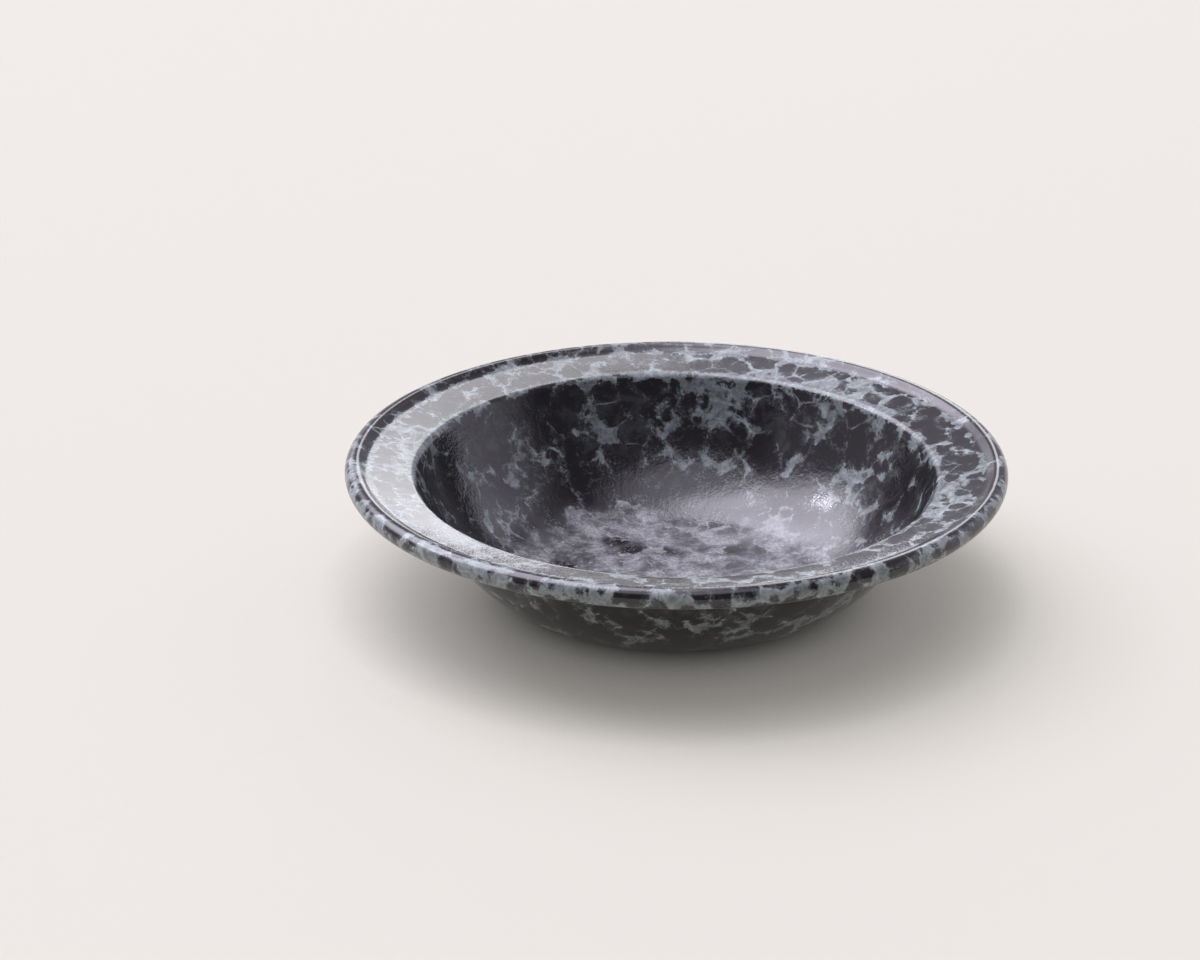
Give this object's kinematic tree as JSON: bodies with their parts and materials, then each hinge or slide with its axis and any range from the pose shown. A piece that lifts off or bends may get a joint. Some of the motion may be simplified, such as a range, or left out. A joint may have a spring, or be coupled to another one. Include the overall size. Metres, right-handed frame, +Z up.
{
  "type": "rimmed bowl",
  "caption": "Rimmed bowl in marbled charcoal enamelled steel, with a flat base, a curved wall, a wide sloping flange and a rolled bead at the edge, for serving food.",
  "frame": {"origin": "centre of the flat face that the bowl stands on", "axes": "+Z up along the bowl's axis, from the standing face to the mouth"},
  "size_m": [0.23, 0.23, 0.05],
  "materials": {
    "pressed_steel": "bare pressed sheet, hidden under the enamel",
    "inside_enamel": "glossy vitreous enamel, charcoal with pale blue-grey marbling",
    "rim_enamel": "glossy vitreous enamel, mostly pale blue-grey with charcoal blotches",
    "outside_enamel": "glossy vitreous enamel, charcoal with pale grey marbling"
  },
  "bodies": {
    "root": {"steel_shell": "pressed_steel", "inside_enamel": "inside_enamel", "rim_enamel": "rim_enamel", "outside_enamel": "outside_enamel"}
  },
  "joints": []
}
